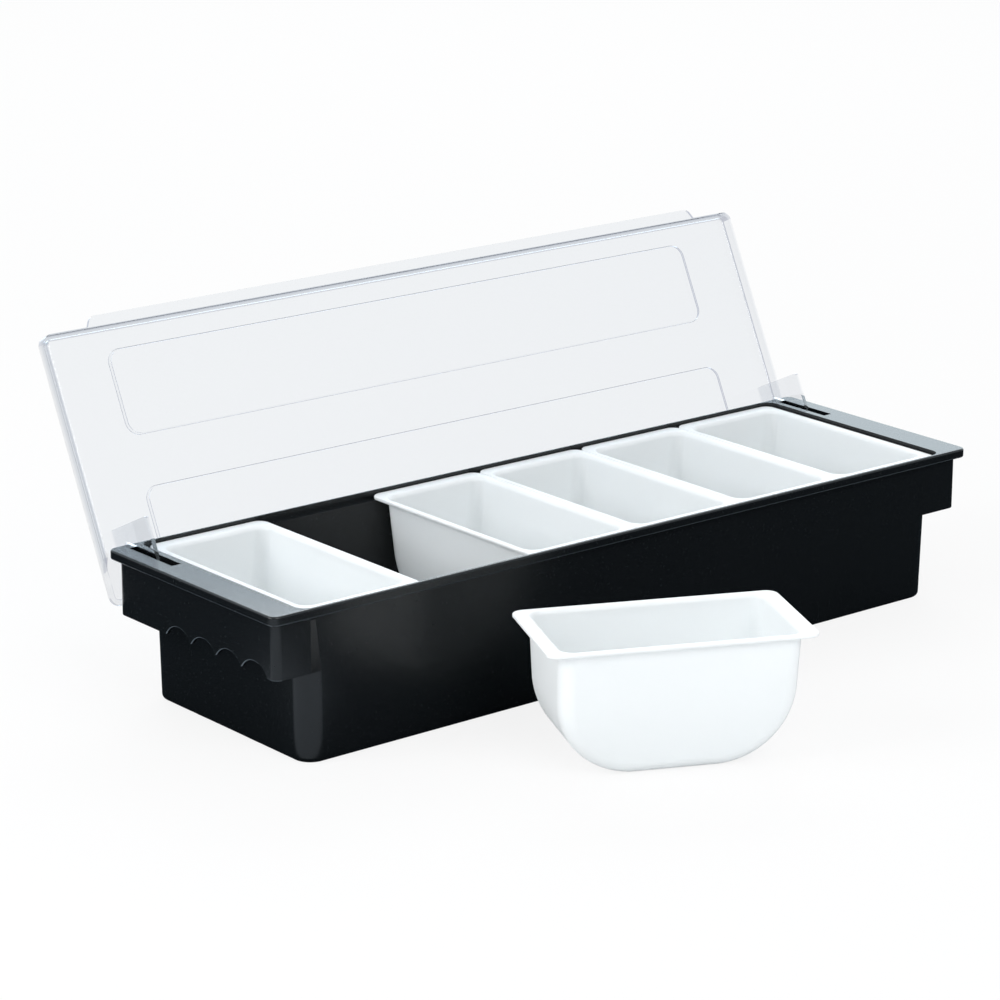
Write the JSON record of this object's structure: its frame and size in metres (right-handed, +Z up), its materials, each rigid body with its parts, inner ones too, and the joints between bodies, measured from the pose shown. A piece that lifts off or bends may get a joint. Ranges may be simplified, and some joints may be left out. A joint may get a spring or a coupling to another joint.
{
  "type": "bar garnish tray",
  "caption": "Long black countertop garnish tray with lift-out white tubs, scalloped end grips and a clear lid hinged at the back.",
  "frame": {"origin": "centre of the tray's underside, which rests on the counter", "axes": "+X along the tray to the right, +Y to the hinged back, +Z up"},
  "size_m": [0.5, 0.3708, 0.1976],
  "materials": {
    "tray_plastic": "moulded gloss black",
    "lid_plastic": "clear, polished",
    "insert_plastic": "satin white"
  },
  "bodies": {
    "tray": {"tray": "tray_plastic"},
    "lid": {"lid": "lid_plastic"},
    "insert_1": {"insert_1": "insert_plastic"},
    "insert_2": {"insert_2": "insert_plastic"},
    "insert_3": {"insert_3": "insert_plastic"},
    "insert_4": {"insert_4": "insert_plastic"},
    "insert_5": {"insert_5": "insert_plastic"},
    "insert_6": {"insert_6": "insert_plastic"}
  },
  "joints": [
    {"name": "lid_hinge", "type": "hinge", "parent": "tray", "child": "lid", "pos_m": [0, 0.062, 0.075], "axis": [-1, 0, 0], "range_deg": [-116, 0]},
    {"name": "insert_1_lift", "type": "slide", "parent": "tray", "child": "insert_1", "axis": [0, 0, 1], "range_m": [0, 0.11]},
    {"name": "insert_2_lift", "type": "slide", "parent": "tray", "child": "insert_2", "axis": [0, 0, 1], "range_m": [0, 0.11]},
    {"name": "insert_3_lift", "type": "slide", "parent": "tray", "child": "insert_3", "axis": [0, 0, 1], "range_m": [0, 0.11]},
    {"name": "insert_4_lift", "type": "slide", "parent": "tray", "child": "insert_4", "axis": [0, 0, 1], "range_m": [0, 0.11]},
    {"name": "insert_5_lift", "type": "slide", "parent": "tray", "child": "insert_5", "axis": [0, 0, 1], "range_m": [0, 0.11]},
    {"name": "insert_6_lift", "type": "slide", "parent": "tray", "child": "insert_6", "axis": [0, 0, 1], "range_m": [0, 0.11]}
  ]
}
